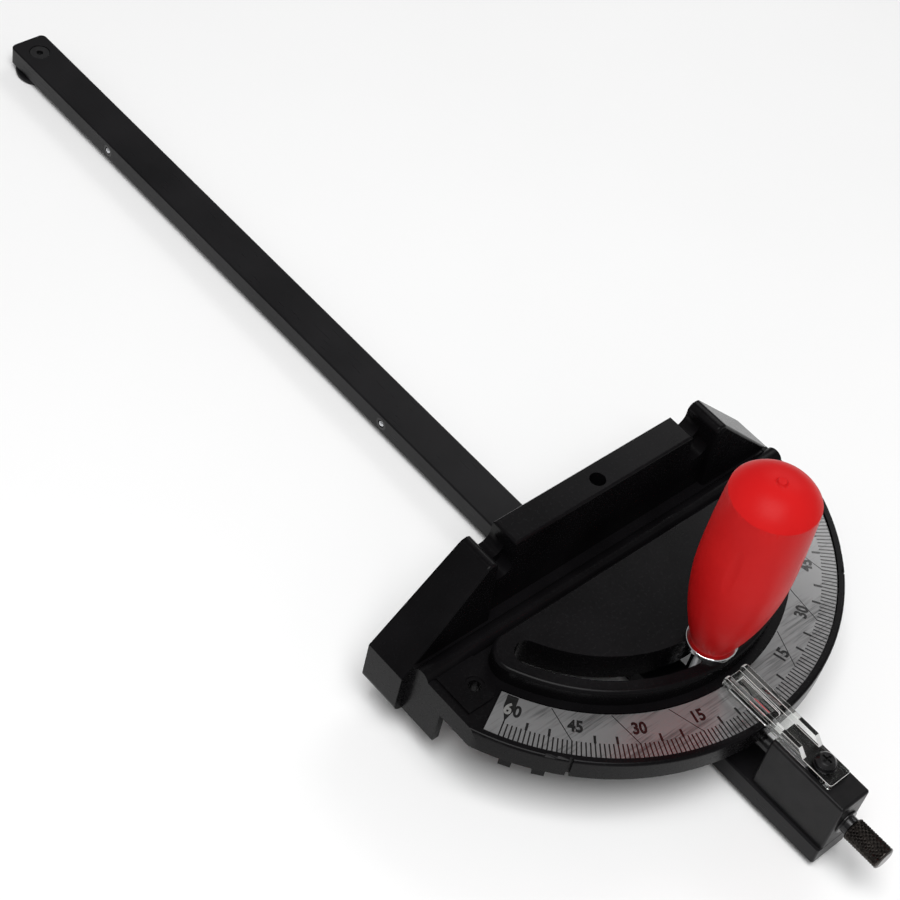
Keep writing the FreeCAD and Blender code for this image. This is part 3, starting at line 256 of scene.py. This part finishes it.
def make_knurl_black():
    return surface(
        "knurled_black_steel", (0.022, 0.019, 0.017), (0.062, 0.055, 0.050),
        0.12, 0.24, 0.9, 2200.0, 0.010, 260.0)[0]


def make_steel():
    return surface(
        "bright_steel", (0.52, 0.53, 0.55), (0.66, 0.67, 0.69),
        0.16, 0.28, 1.0, 2400.0, 0.004, 200.0)[0]


def make_chrome():
    return surface(
        "polished_chrome", (0.78, 0.79, 0.80), (0.88, 0.89, 0.90),
        0.04, 0.10, 1.0, 900.0, 0.002, 90.0)[0]


BRUSH_TURN = 0.9
ACRYLIC_IOR = 1.49


def make_scale_metal():
    """Brushed metal: fine streaks slanting over the scale, and an uneven soft gloss."""
    material, nodes, links, shader = start_material(
        "scale_satin_aluminium", (0.2, 0.2, 0.2), 0.2, 0.5)
    long_pattern = object_pattern(nodes, links, (0.045, 1, 1), BRUSH_TURN)
    streaks = noise(nodes, links, long_pattern, 1300.0, 5.0, 0.65)
    short_pattern = object_pattern(nodes, links, (0.3, 1, 1), BRUSH_TURN)
    patches = noise(nodes, links, short_pattern, 110.0, 3.0)
    both = nodes.new("ShaderNodeMath")
    both.operation = "ADD"
    links.new(streaks, both.inputs[0])
    links.new(patches, both.inputs[1])
    tone = ramp(nodes, links, both.outputs["Value"],
                (0.092, 0.092, 0.093), (0.235, 0.235, 0.237), 0.72, 1.0)
    links.new(tone, shader.inputs["Base Color"])
    links.new(ramp(nodes, links, streaks, 0.12, 0.26), shader.inputs["Roughness"])
    bumped(nodes, links, shader, streaks, 0.003)
    return material


def make_ink(name, low, high, rough=0.08):
    material, shader = surface(
        name, low, high, rough, rough + 0.1, 0.0, 5000.0, 0.002, 800.0)
    shader.inputs["Specular IOR Level"].default_value = 0.8
    return material


def make_red_grip():
    material, shader = surface(
        "red_moulded_grip", (0.52, 0.008, 0.009), (0.59, 0.012, 0.012),
        0.34, 0.44, 0.0, 1300.0, 0.010, 40.0)
    shader.inputs["Specular IOR Level"].default_value = 0.075
    return material


def make_clear():
    material, shader = surface(
        "clear_acrylic", (0.93, 0.94, 0.92), (0.99, 1.0, 0.98),
        0.02, 0.06, 0.0, 500.0, 0.002, 90.0)
    shader.inputs["Transmission Weight"].default_value = 1.0
    shader.inputs["IOR"].default_value = ACRYLIC_IOR
    return material


def make_acrylic_edge():
    """A painted highlight: a near-white, part-clear copy of the acrylic for the cursor's
    edges, standing in for the light they catch.
    """
    material, shader = surface(
        "acrylic_painted_highlight_edge", (0.72, 0.73, 0.72), (0.92, 0.92, 0.90),
        0.10, 0.26, 0.0, 700.0, 0.006, 240.0)
    shader.inputs["Transmission Weight"].default_value = 0.25
    shader.inputs["IOR"].default_value = ACRYLIC_IOR
    return material


casting_paint = make_casting_paint()
bar_black = make_bar_black()
block_black = make_block_black()
screw_black = make_screw_black()
knurl_black = make_knurl_black()
bright_steel = make_steel()
chrome = make_chrome()
scale_metal = make_scale_metal()
black_ink = make_ink("scale_black_ink", (0.004, 0.004, 0.004), (0.009, 0.009, 0.009))
white_ink = make_ink("scale_white_ink", (0.11, 0.11, 0.105), (0.17, 0.17, 0.165), 0.3)
red_ink = make_ink("pointer_red_ink", (0.52, 0.035, 0.05), (0.66, 0.06, 0.07), 0.3)
red_grip = make_red_grip()
clear_acrylic = make_clear()
# near-white painted highlight for the cursor's edges
acrylic_painted_highlight = make_acrylic_edge()

FINISHES = {
    "miter_bar": (bar_black, 0.2),
    "t_slot_washer": (bar_black, 0.2),
    "t_washer_screw": (screw_black, 0.12),
    "front_plunger_sleeve": (screw_black, 0.06),
    "rear_plunger_sleeve": (screw_black, 0.06),
    "front_plunger_spring": (bright_steel, 0),
    "rear_plunger_spring": (bright_steel, 0),
    "front_plunger_ball": (bright_steel, 0),
    "rear_plunger_ball": (bright_steel, 0),
    "pivot_shim": (bright_steel, 0.06),
    "pivot_screw": (screw_black, 0.15),
    "pointer_block": (block_black, 0.15),
    "front_block_screw": (screw_black, 0.12),
    "rear_block_screw": (screw_black, 0.12),
    "index_bushing": (screw_black, 0.15),
    "index_pin": (screw_black, 0.12),
    "index_clip": (bright_steel, 0.08),
    "index_spring": (bright_steel, 0),
    "head_casting": (casting_paint, 0.35),
    "scale_plate": (scale_metal, 0.08),
    "cursor": (clear_acrylic, 0.42),
    "cursor_washer": (screw_black, 0.06),
    "cursor_screw": (screw_black, 0.15),
    "clamp_stud": (chrome, 0.15),
    "clamp_washer": (chrome, 0.15),
    "handle_insert": (chrome, 0.1),
    "handle_grip": (red_grip, 0),
}

for node, (material, edge) in FINISHES.items():
    dressed(node, material, edge, GRIP_ANGLE if node == "handle_grip" else SMOOTH_ANGLE)


# Cursor: a painted highlight on its rounded edges and on the upright end of the window step

# Which cursor faces get the painted highlight: sloped rounded-edge faces, and the step's
# upright end found by its reach along y
ROUND_SLOPE = (0.25, 0.96)
STEP_REACH = (-119, -112)


def brighten_cursor_edges():
    """Rounded edges and the upright end of the window step get the near-white painted
    highlight finish, in place of the light they catch.
    """
    cursor = bpy.data.objects["cursor_finish"]
    cursor.data.materials.append(acrylic_painted_highlight)
    for face in cursor.data.polygons:
        edge = ROUND_SLOPE[0] < face.normal.z < ROUND_SLOPE[1]
        reach = face.center.y / MM
        step = face.normal.y < -0.8 and STEP_REACH[0] < reach < STEP_REACH[1]
        if edge or step:
            face.material_index = 1


brighten_cursor_edges()


# Index knob: a turned sleeve with a diamond knurl

KNOB_RADIUS = 5.0
KNURL_TEETH = 18
KNURL_ROWS = 15
KNURL_DEPTH = 0.55
KNOB_ROUND = 1.1
ROUND_STEPS = (0.0, 0.35, 0.7, 1.0)
KNOB_END_FACTOR = 0.45
knob_low, knob_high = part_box("index_knob")
knob_centre = (0, 0, (knob_low[2] + knob_high[2]) / 2)


def ring_out(distance, factor=1.0):
    """The selected ring is drawn out along the knob's axis, and sized about it."""
    bpy.ops.mesh.extrude_edges_move(TRANSFORM_OT_translate={"value": (0, -distance * MM, 0)})
    if factor != 1.0:
        bpy.ops.transform.resize(value=(factor, 1, factor), center_override=knob_centre)


def make_index_knob():
    """Rings drawn out along the axis, every second corner of which is pulled in."""
    back, front = knob_high[1], knob_low[1]
    pitch = ((back - front) / MM - KNOB_ROUND * 2) / KNURL_ROWS
    bow = [1 - KNOB_ROUND / KNOB_RADIUS * (1 - math.sin(math.acos(1 - step)))
           for step in ROUND_STEPS]
    gaps = [KNOB_ROUND * (ROUND_STEPS[i + 1] - ROUND_STEPS[i]) for i in range(3)]
    bpy.ops.mesh.primitive_circle_add(
        vertices=KNURL_TEETH * 2, radius=KNOB_RADIUS * MM * bow[0],
        location=(0, back, knob_centre[2]), rotation=(math.pi / 2, 0, 0))
    knob = bpy.context.object
    apply_place(knob)
    edit_all(knob)
    for step in range(3):
        ring_out(gaps[step], bow[step + 1] / bow[step])
    for _ in range(KNURL_ROWS):
        ring_out(pitch)
    for step in (2, 1, 0):
        ring_out(gaps[step], bow[step] / bow[step + 1])
    ring_out(0, KNOB_END_FACTOR)
    bpy.ops.mesh.edge_face_add()
    bpy.ops.mesh.select_all(action="DESELECT")
    leave_edit()
    for corner in knob.data.vertices:
        row = round(((back - corner.co.y) / MM - KNOB_ROUND) / pitch)
        height = corner.co.z - knob_centre[2]
        around = math.atan2(corner.co.x, height) / math.tau * KNURL_TEETH * 2
        reach = math.hypot(corner.co.x, height) / MM
        corner.select = reach > KNOB_RADIUS - 0.01 and (row + round(around)) % 2 == 0
    choose(knob)
    bpy.ops.object.mode_set(mode="EDIT")
    shrink = 1 - KNURL_DEPTH / KNOB_RADIUS
    bpy.ops.transform.resize(value=(shrink, 1, shrink), center_override=knob_centre)
    bpy.ops.mesh.select_all(action="SELECT")
    bpy.ops.mesh.quads_convert_to_tris(quad_method="SHORTEST_DIAGONAL")
    bpy.ops.mesh.select_all(action="DESELECT")
    bpy.ops.mesh.select_non_manifold()
    bpy.ops.mesh.edge_face_add()
    bpy.ops.mesh.select_all(action="SELECT")
    bpy.ops.mesh.normals_make_consistent(inside=False)
    leave_edit()
    knob.name = "index_knob_knurled"
    knob.data.name = knob.name
    paint_with(knob, knurl_black)
    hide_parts("index_knob")
    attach(knob, body_of_node["index_knob"])


make_index_knob()


# Scale markings

PLATE_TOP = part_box("scale_plate")[1][2] / MM
PLATE_INNER = 87.3
PLATE_OUTER = 106.8
NUMBER_RADIUS = 94.0
NUMBER_SHIFT = 0.7
NUMBER_SIZE = 7.1
NUMBER_BOLD = 0.00026
NUMBER_NARROW = 0.84
INK = 0.04
TICK_INNER = 100.3
TICK_WIDTH = 0.58
LEADER_WIDTH = 0.34
LEADER_SLANT = 6.0
TAG_WIDTH = 4.4
TAG_END = 93.4
HEAVY_TICKS = (5, 10, 20, 25, 35, 40, 50, 55)


def spot(radius, angle):
    """A place on the scale, from the pivot, at an angle from the zero line."""
    turn = math.radians(angle)
    return Vector((radius * math.sin(turn), -radius * math.cos(turn), 0)) * MM


def stroke(start, end, width, end_width=None):
    """A flat bar of ink from one place to another, as wide as asked at each end."""
    end_width = width if end_width is None else end_width
    along = end - start
    bpy.ops.mesh.primitive_cube_add(size=1, location=(0, 0, 0))
    piece = bpy.context.object
    piece.scale = (1, 1, INK * MM)
    apply_place(piece)
    side = Vector((-along.y, along.x, 0)).normalized()
    for corner in piece.data.vertices:
        place = end if corner.co.y > 0 else start
        half = (end_width if corner.co.y > 0 else width) * MM / 2
        offset = side * (half if corner.co.x < 0 else -half)
        height = corner.co.z + (PLATE_TOP + INK / 2) * MM
        corner.co = Vector((place.x + offset.x, place.y + offset.y, height))
    return piece


def copy_turned(piece, angle):
    """A copy of a mark, turned round the pivot."""
    twin = piece.copy()
    twin.data = piece.data.copy()
    bpy.context.scene.collection.objects.link(twin)
    twin.rotation_euler = (0, 0, math.radians(angle))
    apply_place(twin)
    return twin


def number(text, angle, lift=INK * 1.4):
    """A bold narrow number with its top towards the pivot."""
    bpy.ops.object.text_add(location=(0, 0, 0))
    words = bpy.context.object
    words.data.body = text
    words.data.size = NUMBER_SIZE * MM
    words.data.align_x = "CENTER"
    words.data.align_y = "CENTER"
    words.data.offset = NUMBER_BOLD
    words.data.extrude = INK * MM / 2
    words.data.resolution_u = 4
    choose(words)
    bpy.ops.object.convert(target="MESH")
    piece = bpy.context.object
    place = spot(NUMBER_RADIUS, angle)
    piece.scale = (NUMBER_NARROW, 1, 1)
    piece.rotation_euler = (0, 0, math.radians(angle))
    piece.location = (place.x, place.y, (PLATE_TOP + lift) * MM)
    apply_place(piece)
    return piece


def mark_piece(pieces, name, ink, body):
    piece = joined(pieces, name)
    paint_with(piece, ink)
    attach(piece, body)


def make_scale_marks():
    """Ticks, leaders, tags and numbers, from the scale's inner edge outwards."""
    degree = stroke(spot(TICK_INNER, 0), spot(PLATE_OUTER - 0.15, 0), TICK_WIDTH)
    heavy = stroke(spot(97.0, 0), spot(100.4, 0), 1.0)
    marks = [copy_turned(degree, angle) for angle in range(-60, 61)]
    marks += [copy_turned(heavy, -angle) for angle in reversed(HEAVY_TICKS)]
    marks += [copy_turned(heavy, angle) for angle in HEAVY_TICKS]
    for piece in (degree, heavy):
        bpy.data.objects.remove(piece)
    for side in (-1, 1):
        for angle in (15, 30, 45):
            slant = side * (angle + LEADER_SLANT) + NUMBER_SHIFT
            marks.append(stroke(spot(PLATE_INNER + 0.4, slant), spot(100.6, side * angle),
                                LEADER_WIDTH))
            marks.append(number(str(angle), side * angle + NUMBER_SHIFT))
    for angle in (-60, 0, 60):
        marks.append(stroke(spot(PLATE_INNER + 0.3, angle), spot(TAG_END, angle), TAG_WIDTH))
        marks.append(stroke(spot(TAG_END - 0.1, angle), spot(99.0, angle), TAG_WIDTH, 0.5))
        marks.append(stroke(spot(98.6, angle), spot(100.6, angle), 0.5))
    for angle in (-60, 60):
        marks.append(number("0", angle + NUMBER_SHIFT + 1.35))
    mark_piece(marks, "scale_marks", black_ink, "head")
    whites = [number("6", -60 + NUMBER_SHIFT - 0.85, INK * 2.2),
              number("0", 0, INK * 2.2),
              number("6", 60 + NUMBER_SHIFT - 0.85, INK * 2.2)]
    mark_piece(whites, "scale_white_numbers", white_ink, "head")


def make_pointer_line():
    """The red line on the underside of the cursor's window, over the tick ring."""
    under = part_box("cursor")[0][2] / MM
    line = stroke(spot(98.4, 0), spot(106.4, 0), 2.0)
    line.location = (0, 0, (under - PLATE_TOP - INK * 2.0) * MM)
    apply_place(line)
    mark_piece([line], "pointer_line", red_ink, body_of_node["cursor"])


make_scale_marks()
make_pointer_line()


# Studio

def aimed_light(name, place, target, size, power):
    lamp = bpy.data.lights.new(name, "AREA")
    lamp.shape = "RECTANGLE"
    lamp.size, lamp.size_y = size
    lamp.energy = power
    item = bpy.data.objects.new(name, lamp)
    bpy.context.scene.collection.objects.link(item)
    item.location = place
    item.rotation_euler = (Vector(target) - Vector(place)).to_track_quat("-Z", "Y").to_euler()


def make_floor():
    bpy.ops.mesh.primitive_plane_add(size=12, location=(0, 0.12, cad_low[2] - 0.0002))
    floor = bpy.context.object
    floor.name = "floor"
    paint_with(floor, surface(
        "pale_floor", (0.88, 0.88, 0.88), (0.91, 0.91, 0.91),
        0.6, 0.75, 0.0, 300.0, 0.01, 3.0)[0])
    apply_place(floor)


SKY_LEVELS = ((0.0, 0.16), (0.40, 0.36), (0.70, 0.42), (0.80, 0.08))


def make_studio():
    """Dim grey surroundings, a large softbox overhead and a low wide one behind."""
    world = bpy.data.worlds.new("studio")
    bpy.context.scene.world = world
    world.use_nodes = True
    nodes, links = world.node_tree.nodes, world.node_tree.links
    sky = nodes["Background"]
    direction = nodes.new("ShaderNodeTexCoord")
    parts = nodes.new("ShaderNodeSeparateXYZ")
    links.new(direction.outputs["Generated"], parts.inputs["Vector"])
    tent = nodes.new("ShaderNodeValToRGB")
    (low_place, low_level), *between, (high_place, high_level) = SKY_LEVELS
    first, last = tent.color_ramp.elements
    first.position, first.color = low_place, (low_level, low_level, low_level, 1)
    last.position, last.color = high_place, (high_level, high_level, high_level, 1)
    for place, level in between:
        tent.color_ramp.elements.new(place).color = (level, level, level, 1)
    links.new(parts.outputs["Z"], tent.inputs["Fac"])
    links.new(tent.outputs["Color"], sky.inputs["Color"])
    sky.inputs["Strength"].default_value = 1.0
    middle = (0, 0, 0.03)
    aimed_light("overhead_softbox", (-0.5, -0.4, 2.0), middle, (1.4, 1.4), 44)
    aimed_light("back_softbox", (1.56, 0.62, 1.42), middle, (1.2, 0.52), 5.5)
    bpy.context.scene.view_settings.view_transform = "Standard"


def make_camera():
    lens = bpy.data.cameras.new("camera")
    lens.sensor_width = 36
    lens.lens = 85.04
    lens.clip_start = 0.01
    camera = bpy.data.objects.new("camera", lens)
    bpy.context.scene.collection.objects.link(camera)
    right = (0.74141, -0.64950, 0.16867)
    up = (0.41475, 0.64113, 0.64571)
    back = (-0.52753, -0.40878, 0.74472)
    place = (-0.47385, -0.29373, 0.67307)
    camera.matrix_world = Matrix([
        (right[i], up[i], back[i], place[i]) for i in range(3)
    ] + [(0, 0, 0, 1)])
    bpy.context.scene.camera = camera


make_floor()
make_studio()
make_camera()
